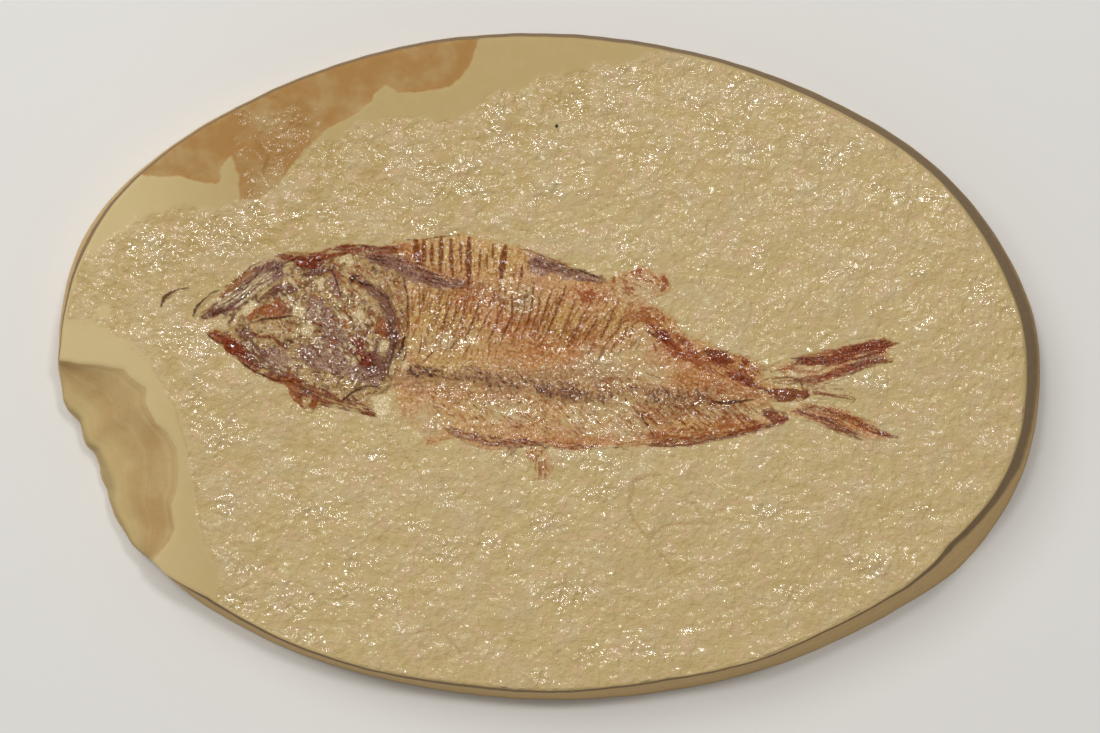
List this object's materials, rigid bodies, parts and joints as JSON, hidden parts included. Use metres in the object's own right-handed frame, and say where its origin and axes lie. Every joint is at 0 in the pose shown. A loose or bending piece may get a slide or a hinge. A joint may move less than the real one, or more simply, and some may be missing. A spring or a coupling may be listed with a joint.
{
  "type": "diplomystus fossil fish in a limestone slab",
  "caption": "Small fossil fish pressed flat in the face of an oval limestone slab with a ground edge and one broken corner.",
  "frame": {"origin": "middle of the slab's bounding box, on its flat underside", "axes": "+X from the fish's snout to its tail along the slab's length, +Y to the fish's back, +Z out of the face that holds the fish"},
  "size_m": [0.1202, 0.0816, 0.0096],
  "materials": {
    "limestone": "pale yellow limestone, varnished on its face and ground matt at the edge",
    "pressed_film": "orange-brown fossil film, varnished",
    "dark_bone": "dark reddish-brown fossil bone, varnished",
    "plum_bone": "grey-plum fossil bone, glossy",
    "fin_brown": "light brown fossil fin, varnished",
    "tail_brown": "dark brown fossil tail rays, varnished"
  },
  "bodies": {
    "root": {"slab": "limestone", "body": "pressed_film", "skull": "dark_bone", "upper_jaw": "plum_bone", "lower_jaw": "dark_bone", "shoulder_bone": "plum_bone", "dorsal_fin": "fin_brown", "pelvic_fin": "fin_brown", "tail_fin_upper": "tail_brown", "tail_ray": "tail_brown", "tail_fin_lower": "tail_brown", "stray_bone": "plum_bone", "jaw_sliver": "plum_bone"}
  },
  "joints": []
}
